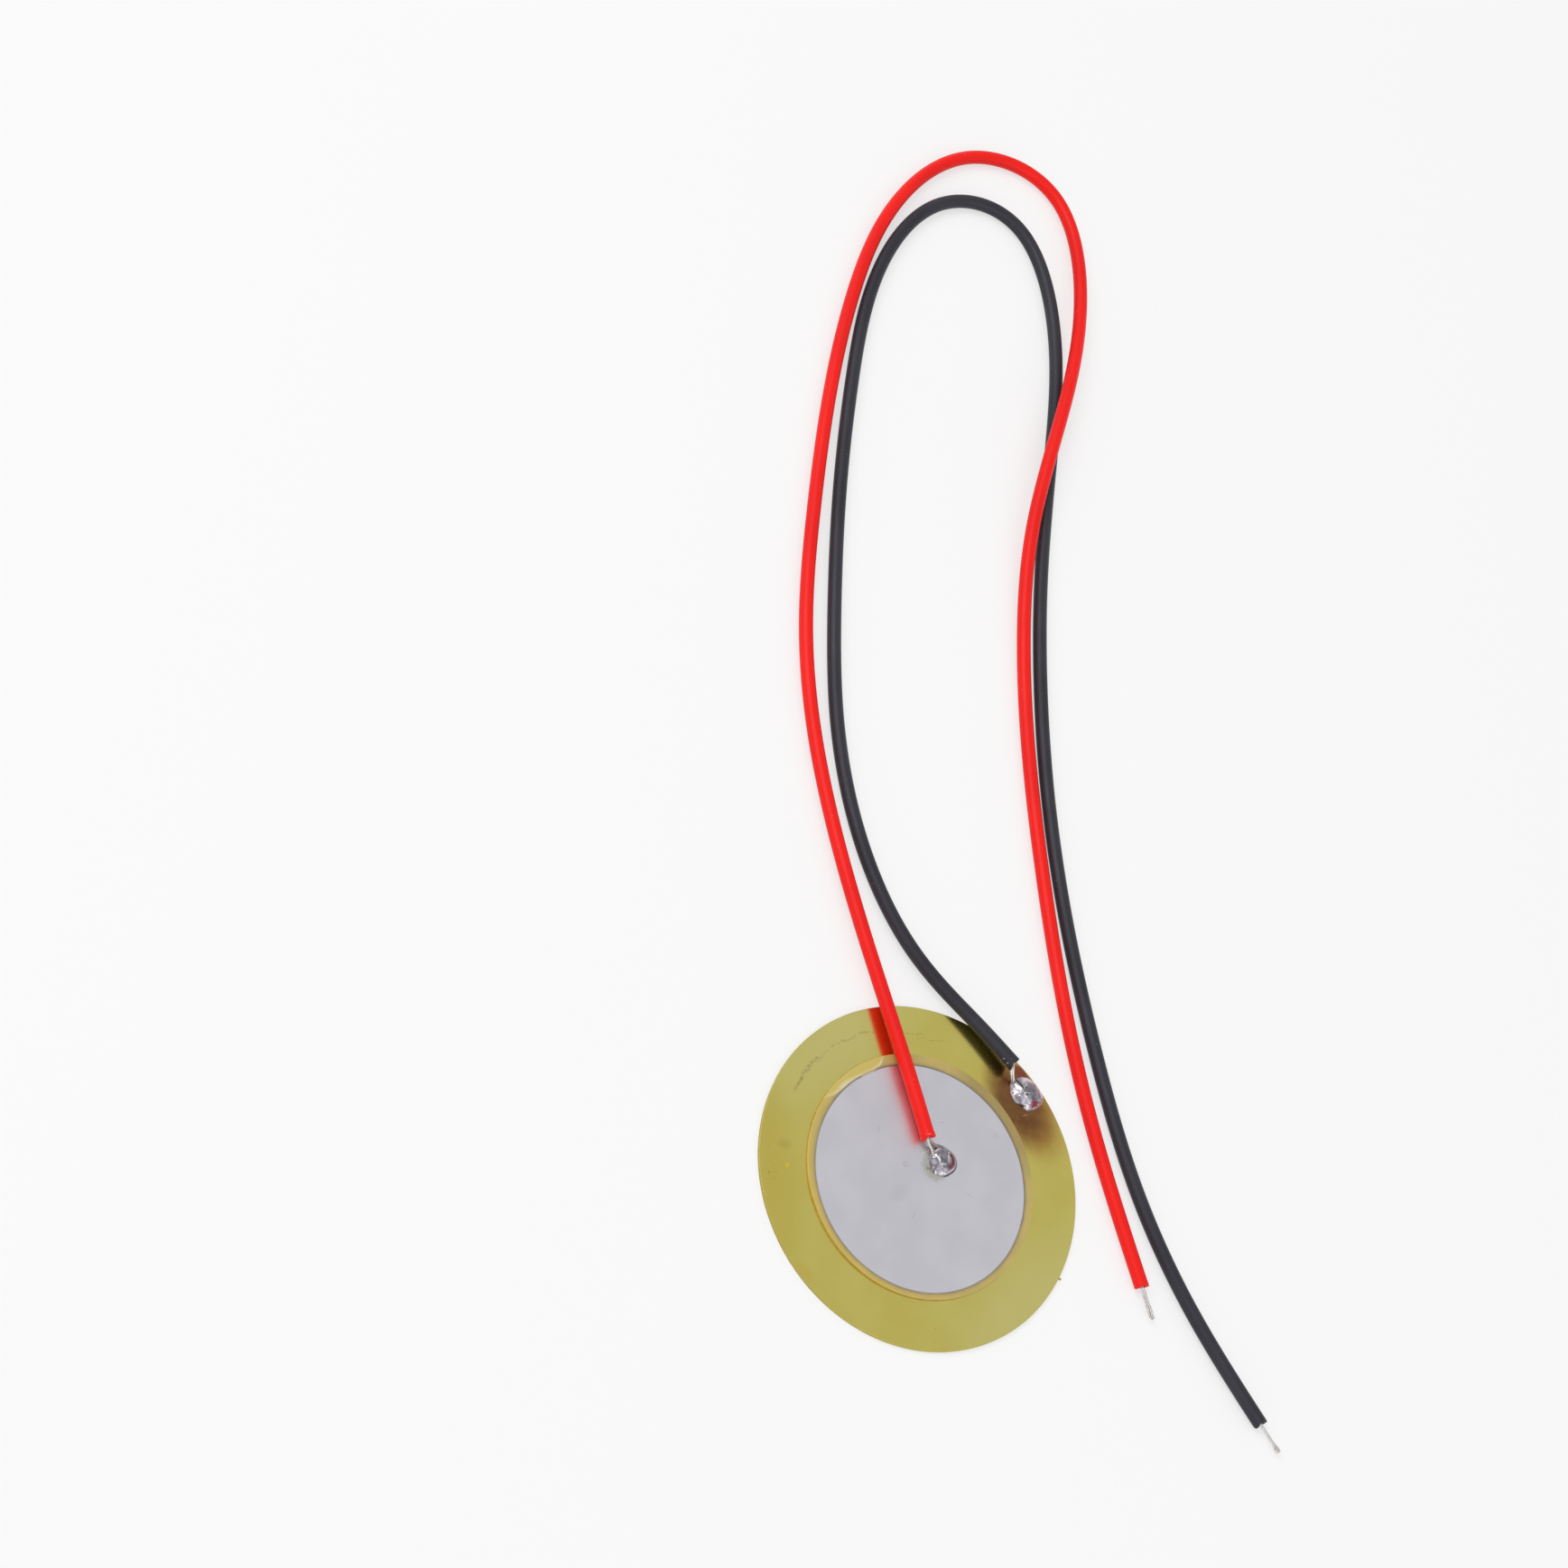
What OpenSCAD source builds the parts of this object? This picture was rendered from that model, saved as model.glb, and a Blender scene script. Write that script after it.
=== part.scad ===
// Piezo disc: a punched brass disc with a thin piezoelectric ceramic bonded to
// it, silver electrodes on both faces of the ceramic, and two soldered leads
// with stripped, tinned ends. Units are millimetres.
// The origin is the centre of the brass disc's back face, and +Z points out of
// the side that carries the ceramic and the solder.

/* [Brass disc] */
// Diameter of the brass disc
disc_d = 27; // [22:0.5:40]
// Thickness of the brass sheet
disc_t = 0.3; // [0.2:0.05:0.5]
// Radius that the punch leaves on the upper edge
punch_roll = 0.06; // [0.02:0.01:0.1]
// Width of the burr that the punch left on the rim
burr_w = 0.35; // [0.2:0.05:0.6]

/* [Ceramic and electrodes] */
// Diameter of the ceramic disc
ceramic_d = 19.2; // [14:0.1:20]
// Thickness of the ceramic disc
ceramic_t = 0.2; // [0.12:0.01:0.3]
// Bare margin of ceramic left around the printed silver electrodes
electrode_margin = 0.65; // [0.4:0.05:2]
// Thickness of each silver print
silver_t = 0.015; // [0.01:0.005:0.03]
// How far the upper print stops short along its upper left edge
print_shortfall = 0.15; // [0.1:0.05:0.4]
// Thickness of the adhesive under the ceramic
bond_t = 0.02; // [0.01:0.01:0.05]
// Width of the adhesive bead squeezed out around the ceramic
bead_w = 0.06; // [0.05:0.01:0.2]
// Height of the adhesive bead above the brass
bead_h = 0.08; // [0.05:0.01:0.15]

/* [Solder joints] */
// Radius of the centre joint's footprint
centre_joint_r = 1.25; // [1:0.05:1.5]
// Height of the centre joint above the electrode
centre_joint_h = 0.8; // [0.6:0.05:1]
// Radius of the rim joint's footprint
rim_joint_r = 1.3; // [1.1:0.05:1.5]
// Height of the rim joint above the brass
rim_joint_h = 0.95; // [0.7:0.05:1.1]
// Distance from the brass rim in to the middle of the rim joint
rim_joint_inset = 1.3; // [1.1:0.1:1.8]
// Thickness of the flux residue around the joints
flux_t = 0.05; // [0.02:0.01:0.08]

/* [Leads] */
// Outer diameter of the insulation
jacket_d = 1.15; // [0.9:0.05:1.4]
// Diameter of the stranded conductor
conductor_d = 0.38; // [0.3:0.02:0.5]
// Length of bare conductor at each stripped end
tip_length = 2.6; // [2:0.1:4]

/* [Hidden] */

disc_r = disc_d / 2;
ceramic_r = ceramic_d / 2;
electrode_r = ceramic_r - electrode_margin;
lead_r = jacket_d / 2;
conductor_r = conductor_d / 2;
// How far out of its jacket the bare conductor turns towards its solder
root_knee = 2.4 * conductor_r;

// Levels of the stack, from the brass up
bond_z = disc_t;
lower_silver_z = bond_z + bond_t;
ceramic_z = lower_silver_z + silver_t;
upper_silver_z = ceramic_z + ceramic_t;
face_z = upper_silver_z + silver_t;

// Steps in degrees along the small arcs of the profiles
arc_step = 15;
// Direction from the centre in which the upper print stops short
shortfall_angle = 117;
// Middle of the upper print, which lies a little off the disc's middle
print_shift = [-0.07, -0.2];
// Angle of the burr on the rim, and how far it reaches in and out
burr_angle = -32.5;
burr_out = 0.3;
burr_in = 0.4;

// Places of the two joints
centre_joint = [1.85, 1.25];
rim_joint_angle = 36;
rim_joint = (disc_r - rim_joint_inset) * [cos(rim_joint_angle), sin(rim_joint_angle)];
// Where each root ends in its solder: offset from the joint's middle and height above
// the face under it, and the radius of the solder drawn up around it there
red_root_end = [-0.65, 0.35, 0.45];
black_root_end = [-0.85, 0.65, 0.5];
wick_r = 0.45;
// Lobes of the rim joint: offset from its middle and radius
rim_lobes = [[0.75, -0.35, 0.85], [-0.35, -0.5, 0.8]];
// Middle and radius of each patch of flux residue, from the joint's middle
centre_flux_shift = [-0.45, -0.35];
centre_flux_r = 1.5;
rim_flux_shift = [-0.5, -0.4];
rim_flux_r = 1.7;
rim_flux_margin = 0.1;

// Where each jacket ends beside its joint, and the air under it there
red_start = [centre_joint.x - 1.4, centre_joint.y + 1.5];
red_start_air = 0.08;
black_start = rim_joint + [-1.45, 2.02];
black_start_air = 0.5;

// Next point of each route, set from the first so that the jacket still points
// at its joint when the joint moves
red_approach = red_start + [-1.2, 4.6];
black_approach = black_start + [-2.9, 3.31];

// Levels of a lead that lies on the surface or crosses the other lead
lies = lead_r;
shoulder = lead_r + 0.55 * jacket_d;
crest = lead_r + 1.42 * jacket_d;

// Control points of the two leads, from the joint to the stripped end
red_route = [
    [red_start.x, red_start.y, face_z + lead_r + red_start_air],
    [red_approach.x, red_approach.y, face_z + lead_r + 0.2],
    [-2.5, 13.9, disc_t + lead_r + 0.35],
    [-4.7, 22.9, lead_r + 0.25],
    [-6.6, 33.5, lies],
    [-7, 44, lies],
    [-5.2, 55, lies],
    [-3, 66, lies],
    [0, 76, lies],
    [4, 84.8, lies],
    [12, 92.2, lies],
    [22.2, 89.6, lies],
    [22, 77, shoulder],
    [18.2, 66.5, crest],
    [14.3, 56, shoulder],
    [13, 45.5, lies],
    [12.6, 35, lies],
    [13, 24.5, lies],
    [13.8, 14, lies],
    [15.5, 3.5, lies],
    [18.5, -7.7, lies]
];
black_route = [
    [black_start.x, black_start.y, disc_t + lead_r + black_start_air],
    [black_approach.x, black_approach.y, disc_t + lead_r + 0.2],
    [0.2, 17.5, lead_r + 0.225],
    [-3.4, 26, lies],
    [-4.8, 36, lies],
    [-4, 46.5, lies],
    [-2.8, 57, lies],
    [-0.8, 67.5, lies],
    [1.8, 78, lies],
    [8.5, 87, lies],
    [18, 86, lies],
    [19.6, 74, lies],
    [17.5, 63, lies],
    [15.4, 52.5, lies],
    [14.3, 42, lies],
    [14, 31.5, lies],
    [14.7, 21, lies],
    [16.3, 10.5, lies],
    [18.5, 0, lies],
    [22.5, -9.5, lies],
    [28, -18, lies]
];
tube_sides = 8;
rings_per_point = 2;

// ---- Leads: a cubic B-spline through the route and a tube swept along it ----

function unit(v) = v / norm(v);

function first_direction(route) = unit(route[1] - route[0]);

function last_direction(route) = let (n = len(route)) unit(route[n - 1] - route[n - 2]);

// The route with one mirrored point before its start and one after its end
function with_ends(route) = let (n = len(route)) concat(
    [2 * route[0] - route[1]], route, [2 * route[n - 1] - route[n - 2]]
);

function spline_point(q, i, t) = (
    pow(1 - t, 3) * q[i]
    + (3 * pow(t, 3) - 6 * pow(t, 2) + 4) * q[i + 1]
    + (-3 * pow(t, 3) + 3 * pow(t, 2) + 3 * t + 1) * q[i + 2]
    + pow(t, 3) * q[i + 3]
) / 6;

function centre_line(route) = let (q = with_ends(route), n = len(route)) concat(
    [for (i = [0 : n - 2], k = [0 : rings_per_point - 1]) spline_point(q, i, k / rings_per_point)],
    [route[n - 1]]
);

function direction_at(line, route, i) =
    i == 0 ? first_direction(route)
    : i == len(line) - 1 ? last_direction(route)
    : unit(line[i + 1] - line[i - 1]);

// One ring of the tube: tube_sides points around the centre, one of them lowest
function ring(centre, direction, radius) = let (
    side = unit(cross([0, 0, 1], direction)),
    up = cross(direction, side)
) [for (k = [0 : tube_sides - 1])
    let (a = 360 * k / tube_sides) centre + radius * (cos(a) * side + sin(a) * up)];

module swept_tube(route, radius) {
    line = centre_line(route);
    rings = len(line);
    points = [
        for (i = [0 : rings - 1]) each ring(line[i], direction_at(line, route, i), radius)
    ];
    walls = [
        for (i = [0 : rings - 2], k = [0 : tube_sides - 1])
            let (
                next = (k + 1) % tube_sides,
                a = i * tube_sides + k,
                b = i * tube_sides + next,
                c = a + tube_sides,
                d = b + tube_sides
            ) each [[a, b, d], [a, d, c]]
    ];
    start_cap = [for (k = [1 : tube_sides - 2]) [0, k + 1, k]];
    last = (rings - 1) * tube_sides;
    end_cap = [for (k = [1 : tube_sides - 2]) [last, last + k, last + k + 1]];
    // The points of a ring run anticlockwise seen along the route, and faces
    // are listed clockwise seen from outside
    polyhedron(points = points, faces = [
        for (f = concat(walls, start_cap, end_cap)) [f[0], f[2], f[1]]
    ]);
}

// A round rod that starts at a point and runs along a direction
module rod(start, direction, length, radius) {
    translate(start)
        rotate([0, acos(direction.z), atan2(direction.y, direction.x)])
            cylinder(h = length, r = radius, $fn = 32);
}

// The bare strands from a jacket: straight out of it, then bent to a point in the solder
module root(route, end) {
    knee = route[0] - root_knee * first_direction(route);
    swept_tube([route[0], knee, end], conductor_r);
}

module root_to_centre() {
    end = [centre_joint.x, centre_joint.y, face_z] + red_root_end;
    root(red_route, end);
}

module root_to_rim() {
    end = [rim_joint.x, rim_joint.y, disc_t] + black_root_end;
    root(black_route, end);
}

module stripped_tip(route) {
    rod(route[len(route) - 1], last_direction(route), tip_length, conductor_r);
}

// ---- Brass, ceramic and electrodes ----

module round_film(radius, z, thickness) {
    translate([0, 0, z])
        cylinder(h = thickness, r = radius, $fn = 180);
}

module burr() {
    rotate([0, 0, burr_angle])
        translate([disc_r - burr_in, -burr_w / 2, 0])
            cube([burr_in + burr_out, burr_w, disc_t / 2]);
}

module brass_disc() {
    color("goldenrod") {
        rotate_extrude($fn = 180)
            polygon(concat(
                [[0, 0], [disc_r, 0]],
                [for (a = [0 : arc_step : 90])
                    [disc_r - punch_roll * (1 - cos(a)), disc_t - punch_roll * (1 - sin(a))]],
                [[0, disc_t]]
            ));
        burr();
    }
}

// The thin bond line with the hollow bead around the ceramic's edge
module bond_layer() {
    color("khaki")
        rotate_extrude($fn = 180)
            polygon(concat(
                [[0, bond_z]],
                [for (a = [0 : arc_step : 90])
                    [ceramic_r + bead_w * (1 - sin(a)), bond_z + bead_h * (1 - cos(a))]],
                [[ceramic_r, lower_silver_z], [0, lower_silver_z]]
            ));
}

module lower_electrode() {
    color("silver")
        round_film(electrode_r, lower_silver_z, silver_t);
}

// The ceramic fills the bond's plane outside the lower print
module ceramic_disc() {
    color("tan")
        difference() {
            round_film(ceramic_r, lower_silver_z, upper_silver_z - lower_silver_z);
            round_film(electrode_r, lower_silver_z, silver_t);
        }
}

// A second, larger circle trims the print by print_shortfall along one side
module upper_electrode() {
    trim_r = electrode_r * 1.5;
    shift = trim_r - electrode_r + print_shortfall;
    color("gainsboro")
        translate([print_shift.x, print_shift.y, 0])
            intersection() {
                round_film(electrode_r, upper_silver_z, silver_t);
                rotate([0, 0, shortfall_angle])
                    translate([-shift, 0, 0])
                        round_film(trim_r, upper_silver_z, silver_t);
            }
}

// ---- Solder joints ----

// A cap of a sphere that stands on level z
module solder_cap(centre, z, radius, height) {
    sphere_r = (radius * radius + height * height) / (2 * height);
    intersection() {
        translate([centre.x, centre.y, z + height - sphere_r])
            sphere(r = sphere_r, $fn = 96);
        translate([centre.x, centre.y, z])
            cylinder(h = height * 1.1, r = radius * 1.1, $fn = 96);
    }
}

// Solder drawn up around the strands, cut off at level z
module solder_wick(centre, z, wick) {
    intersection() {
        translate([centre.x + wick.x, centre.y + wick.y, z + wick.z])
            sphere(r = wick_r, $fn = 96);
        translate([centre.x + wick.x, centre.y + wick.y, z])
            cylinder(h = wick.z + wick_r, r = wick_r * 1.1, $fn = 96);
    }
}

module centre_joint_shape() {
    solder_cap(centre_joint, face_z, centre_joint_r, centre_joint_h);
    solder_wick(centre_joint, face_z, red_root_end);
}

module rim_joint_shape() {
    intersection() {
        union() {
            solder_cap(rim_joint, disc_t, rim_joint_r, rim_joint_h);
            solder_wick(rim_joint, disc_t, black_root_end);
            for (lobe = rim_lobes) {
                solder_cap(rim_joint + [lobe.x, lobe.y], disc_t, lobe.z, lobe.z * 0.8);
            }
        }
        round_film(disc_r - punch_roll, disc_t, rim_joint_h * 2);
    }
}

module centre_solder() {
    color("lightgrey")
        difference() {
            centre_joint_shape();
            root_to_centre();
        }
}

module rim_solder() {
    color("lightgrey")
        difference() {
            rim_joint_shape();
            root_to_rim();
        }
}

module centre_flux() {
    patch = centre_joint + centre_flux_shift;
    color("darkkhaki")
        difference() {
            translate([patch.x, patch.y, face_z])
                cylinder(h = flux_t, r = centre_flux_r, $fn = 96);
            centre_joint_shape();
        }
}

// The patch stays on the brass, clear of the rim and of the adhesive bead
module rim_flux() {
    patch = rim_joint + rim_flux_shift;
    color("saddlebrown")
        difference() {
            intersection() {
                translate([patch.x, patch.y, disc_t])
                    cylinder(h = flux_t, r = rim_flux_r, $fn = 96);
                round_film(disc_r - punch_roll, disc_t, flux_t);
            }
            rim_joint_shape();
            round_film(ceramic_r + bead_w + rim_flux_margin, disc_t, flux_t);
        }
}

// ---- Conductors and jackets ----

module red_root() {
    color("silver")
        root_to_centre();
}

module black_root() {
    color("silver")
        root_to_rim();
}

module red_lead() {
    color("red")
        swept_tube(red_route, lead_r);
}

module black_lead() {
    color("dimgray")
        swept_tube(black_route, lead_r);
}

module red_tip() {
    color("silver")
        stripped_tip(red_route);
}

module black_tip() {
    color("silver")
        stripped_tip(black_route);
}

brass_disc();
bond_layer();
lower_electrode();
ceramic_disc();
upper_electrode();
centre_solder();
centre_flux();
rim_solder();
rim_flux();
red_root();
black_root();
red_lead();
black_lead();
red_tip();
black_tip();
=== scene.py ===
"""Looks of the piezo disc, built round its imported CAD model.

Shapes are worked out in millimetres, x and y across the disc and z up out of
its soldered side, and become metres as they are put into their meshes.
"""

import bpy
import numpy as np
from mathutils import Matrix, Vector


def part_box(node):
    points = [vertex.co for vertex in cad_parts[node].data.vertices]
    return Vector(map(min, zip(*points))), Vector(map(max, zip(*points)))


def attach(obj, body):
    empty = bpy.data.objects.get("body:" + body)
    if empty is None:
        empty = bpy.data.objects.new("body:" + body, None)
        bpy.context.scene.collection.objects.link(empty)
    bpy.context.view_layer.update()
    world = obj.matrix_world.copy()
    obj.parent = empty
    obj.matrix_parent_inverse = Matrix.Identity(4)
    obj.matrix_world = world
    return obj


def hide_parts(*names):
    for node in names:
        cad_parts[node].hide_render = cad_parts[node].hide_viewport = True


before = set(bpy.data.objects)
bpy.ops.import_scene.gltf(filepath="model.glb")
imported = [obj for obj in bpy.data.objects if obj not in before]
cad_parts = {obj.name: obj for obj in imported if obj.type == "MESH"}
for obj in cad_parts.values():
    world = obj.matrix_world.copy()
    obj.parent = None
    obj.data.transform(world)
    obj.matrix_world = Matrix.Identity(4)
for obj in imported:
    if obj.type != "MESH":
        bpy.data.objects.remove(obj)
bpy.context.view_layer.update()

MM = 0.001


# ---- Sizes, from the CAD model ----

DISC_R = -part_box("brass_disc")[0].x / MM
DISC_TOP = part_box("brass_disc")[1].z / MM
CERAMIC_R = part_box("ceramic_disc")[1].x / MM
CERAMIC_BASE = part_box("ceramic_disc")[0].z / MM
CERAMIC_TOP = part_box("ceramic_disc")[1].z / MM
PRINT_R = (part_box("upper_electrode")[1].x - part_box("upper_electrode")[0].x) / 2 / MM
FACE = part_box("upper_electrode")[1].z / MM
BEAD_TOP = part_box("bond_layer")[1].z / MM
BEAD_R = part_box("bond_layer")[1].x / MM

# The print lies a little off the ceramic's middle
PRINT_MIDDLE = np.array([-0.07, -0.2])

CENTRE_JOINT = np.array([1.85, 1.25])
RIM_JOINT = (DISC_R - 1.3) * np.array([np.cos(np.radians(36)), np.sin(np.radians(36))])

# A jacket, its bore, and seven strands: one down the middle and six round it
JACKET_R = 0.575
SKIN_R = JACKET_R - 0.002
BORE_R = 0.2
STRAND_R = 0.0655
STRANDS_APART = 0.1267
TIP_LENGTH = 2.6

# Heights of a lead's middle: on the table, and where it rises over the other
LIES = JACKET_R
SHOULDER = JACKET_R + 0.55 * 2 * JACKET_R
CREST = JACKET_R + 1.42 * 2 * JACKET_R


# ---- Camera ----

EYE = np.array([-139.980, -79.197, 253.246])
ACROSS = (0.89755, -0.06209, 0.43651)
UP = (-0.10587, 0.93071, 0.35009)
BACK = (-0.42801, -0.36044, 0.82879)


def stand_camera():
    """A long lens that looks down on the disc from its lower left."""
    camera = bpy.data.objects.new("camera", bpy.data.cameras.new("camera"))
    bpy.context.scene.collection.objects.link(camera)
    turn = Matrix([ACROSS, UP, BACK]).transposed().to_4x4()
    camera.matrix_world = Matrix.Translation((EYE * MM).tolist()) @ turn
    camera.data.sensor_width = 36
    camera.data.lens = 90.5
    camera.data.clip_start = 0.01
    camera.data.clip_end = 20
    bpy.context.scene.camera = camera


stand_camera()


# ---- Numbers and surfaces ----


def smooth(low, high, x):
    """0 up to low, 1 from high on, and a smooth step between."""
    t = np.clip((x - low) / (high - low), 0, 1)
    return t * t * (3 - 2 * t)


def noise(points, size, seed):
    """Random values from -1 to 1 on a lattice of that size in mm, blended
    smoothly between the eight corners of each cell."""
    table = np.random.default_rng(seed).uniform(-1, 1, 65536)
    cell = np.floor(points / size).astype(np.int64)
    f = points / size - cell
    f = f * f * (3 - 2 * f)
    total = 0
    for corner in np.ndindex(2, 2, 2):
        step = np.array(corner)
        x, y, z = np.moveaxis(cell + step, -1, 0)
        place = (x * 73856093) ^ (y * 19349663) ^ (z * 83492791)
        share = np.prod(np.where(step == 1, f, 1 - f), axis=-1)
        total = total + share * table[place % 65536]
    return total


def ring_of(angle, radius):
    """Points round a circle, for noise that closes on itself."""
    return np.stack([np.cos(angle) * radius, np.sin(angle) * radius, 0 * angle], -1)


def turned_about_z(r, z, angle):
    """The grid that a profile of radii and heights sweeps round the z axis."""
    return np.stack([r * np.cos(angle), r * np.sin(angle), z * np.ones_like(r * angle)], -1)


def shell(grid, first, last):
    """A closed shell: each row of the grid is a ring, the rings run from the
    pole `first` to the pole `last`, and the faces point away from the inside."""
    rows, sides, _ = grid.shape
    here = np.arange(rows * sides).reshape(rows, sides)
    beside = np.roll(here, -1, axis=1)
    quads = np.stack([here[:-1], beside[:-1], beside[1:], here[1:]], -1).reshape(-1, 4)
    low, high = np.full(sides, rows * sides), np.full(sides, rows * sides + 1)
    caps = np.concatenate(
        [np.stack([low, beside[0], here[0]], -1), np.stack([high, here[-1], beside[-1]], -1)]
    )
    points = np.concatenate([grid.reshape(-1, 3), [first], [last]])
    middle = points.mean(axis=0)
    corners = [points[quads[:, k]] - middle for k in range(4)]
    volume = np.sum(corners[0] * np.cross(corners[1], corners[2]))
    volume += np.sum(corners[0] * np.cross(corners[2], corners[3]))
    if volume < 0:
        quads, caps = quads[:, ::-1], caps[:, ::-1]
    return points, quads, caps


def with_poles(grid, first, last):
    """The grid's numbers as one list, followed by those of its two poles."""
    return np.concatenate([grid.reshape(-1, *grid.shape[2:]), [first], [last]])


def piece(name, shells, material, node, values=None):
    """One object from closed shells in mm. It rides on the part's only body
    and stands for a CAD node, and `values` holds numbers for each point."""
    start, points, faces = 0, [], []
    for shell_points, quads, caps in shells:
        points.append(shell_points)
        faces += (quads + start).tolist() + (caps + start).tolist()
        start += len(shell_points)
    mesh = bpy.data.meshes.new(name)
    mesh.from_pydata((np.concatenate(points) * MM).tolist(), [], faces)
    for key, numbers in (values or {}).items():
        numbers = np.asarray(numbers, np.float32)
        kind, field = ("FLOAT", "value") if numbers.ndim == 1 else ("FLOAT_VECTOR", "vector")
        mesh.attributes.new(key, kind, "POINT").data.foreach_set(field, numbers.ravel())
    mesh.polygons.foreach_set("use_smooth", np.ones(len(faces), bool))
    mesh.update()
    thing = bpy.data.objects.new(name, mesh)
    bpy.context.scene.collection.objects.link(thing)
    mesh.materials.append(material)
    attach(thing, "root")
    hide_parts(node)
    return thing


def centre_line(route, step):
    """A uniform cubic B-spline through mirrored ends, so that it starts and
    ends on the route's own end points. Gives the distances along it and its
    points, `step` apart."""
    route = np.array(route, float)
    q = np.vstack([2 * route[0] - route[1], route, 2 * route[-1] - route[-2]])
    t = np.linspace(0, 1, 40, endpoint=False)[:, None, None]
    curve = (
        (1 - t) ** 3 * q[:-3]
        + (3 * t**3 - 6 * t**2 + 4) * q[1:-2]
        + (-3 * t**3 + 3 * t**2 + 3 * t + 1) * q[2:-1]
        + t**3 * q[3:]
    ) / 6
    curve = np.vstack([curve.transpose(1, 0, 2).reshape(-1, 3), route[-1]])
    along = np.r_[0, np.cumsum(np.linalg.norm(np.diff(curve, axis=0), axis=1))]
    at = np.linspace(0, along[-1], int(np.ceil(along[-1] / step)) + 1)
    return at, np.stack([np.interp(at, along, curve[:, k]) for k in range(3)], axis=1)


def carried(at, line, along, radius, angle):
    """Points at distances `along` the line, `radius` away from it, at `angle`
    round it from its level side towards its upper side. The line goes on
    straight past its ends."""
    ahead = np.gradient(line, at, axis=0)
    ahead /= np.linalg.norm(ahead, axis=1, keepdims=True)
    side = np.cross([0, 0, 1], ahead)
    side /= np.linalg.norm(side, axis=1, keepdims=True)
    upper = np.cross(ahead, side)

    def read(column):
        return np.stack([np.interp(along, at, column[:, k]) for k in range(3)], axis=-1)

    past = np.where(along < at[0], along - at[0], np.maximum(along - at[-1], 0))
    middle = read(line) + past[..., None] * read(ahead)
    round_it = np.cos(angle)[..., None] * read(side) + np.sin(angle)[..., None] * read(upper)
    return middle + np.asarray(radius)[..., None] * round_it


# ---- Colours and nodes ----


def linear(colour):
    """An sRGB hex colour as linear red, green, blue and alpha."""
    c = np.array([int(colour[i : i + 2], 16) for i in (0, 2, 4)]) / 255
    c = np.where(c <= 0.04045, c / 12.92, ((c + 0.055) / 1.055) ** 2.4)
    return (*c.tolist(), 1.0)


def add(tree, kind, inputs=(), output=0, **settings):
    """Adds one node with its settings. Its inputs come in order or by name or
    number, each a number, an sRGB hex colour or another node's output, which
    is linked to it. Gives one output, or the node itself where that is None."""
    node = tree.nodes.new("ShaderNode" + kind)
    for key, value in settings.items():
        setattr(node, key, value)
    for key, value in inputs.items() if isinstance(inputs, dict) else enumerate(inputs):
        if isinstance(value, bpy.types.NodeSocket):
            tree.links.new(value, node.inputs[key])
        else:
            node.inputs[key].default_value = linear(value) if isinstance(value, str) else value
    return node if output is None else node.outputs[output]


def begin(name, **sockets):
    """A material with one Principled shader, whose sockets are named with _
    for a blank, and each point's place in mm."""
    material = bpy.data.materials.new(name)
    material.use_nodes = True
    tree = material.node_tree
    tree.nodes.clear()
    sockets = {key.replace("_", " "): value for key, value in sockets.items()}
    shader = add(tree, "BsdfPrincipled", sockets, None)
    add(tree, "OutputMaterial", {"Surface": shader.outputs[0]}, None)
    place = add(tree, "TexCoord", output="Object")
    place = add(tree, "VectorMath", {0: place, "Scale": 1 / MM}, operation="SCALE")
    return material, tree, shader, place


def grains(tree, place, size, detail, band=None, stretch=(1, 1, 1), turn=0.0):
    """Noise with grains of that size in mm, longer where stretch is above 1.
    With a band, its values from low to high are spread smoothly over 0 to 1,
    or from the band's third number to its fourth."""
    near = {"Vector": place, "Rotation": (0, 0, turn), "Scale": [size * s for s in stretch]}
    near = add(tree, "Mapping", near, vector_type="TEXTURE")
    value = add(tree, "TexNoise", {"Vector": near, "Scale": 1.0, "Detail": detail}, "Fac")
    if band:
        value = add(tree, "MapRange", (value, *band), interpolation_type="SMOOTHSTEP")
    return value


def away(tree, place, x, y, half_length=1.0, half_width=1.0, turn=0.0):
    """How far a place is from a middle, seen from above, in half lengths one
    way and half widths the other. The turn is in degrees."""
    # Upwards a unit is so long that height counts for nothing
    upwards = 1000.0
    near = {
        "Vector": place,
        "Location": (x, y, 0),
        "Rotation": (0, 0, np.radians(turn)),
        "Scale": (half_length, half_width, upwards),
    }
    near = add(tree, "Mapping", near, vector_type="TEXTURE")
    return add(tree, "VectorMath", (near,), "Value", operation="LENGTH")


def marks(tree, place, soft, *spots):
    """1 inside each of the spots and 0 away from them. A spot is its middle,
    its half length, its half width and its turn, in mm and degrees."""
    found = 0.0
    for spot in spots:
        near = (away(tree, place, *spot), 1 - soft, 1 + soft, 1.0, 0.0)
        near = add(tree, "MapRange", near, interpolation_type="SMOOTHSTEP")
        found = add(tree, "Math", (found, near), operation="MAXIMUM")
    return found


def coat(tree, shader, colour, layers, relief, depth, rough=None):
    """Gives the shader its colour, its relief and its roughness. Each layer
    covers the colours under it by its share times its strength, and the
    relief's 0 to 1 stands `depth` mm high."""
    for share, strength, over in layers:
        share = add(tree, "Math", (share, strength), operation="MULTIPLY")
        colour = add(tree, "Mix", {0: share, 6: colour, 7: over}, 2, data_type="RGBA")
    raised = add(tree, "Bump", {"Strength": 1.0, "Distance": depth * MM, "Height": relief})
    for key, source in (("Base Color", colour), ("Normal", raised), ("Roughness", rough)):
        if source is not None:
            tree.links.new(source, shader.inputs[key])


# ---- Materials ----


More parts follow.
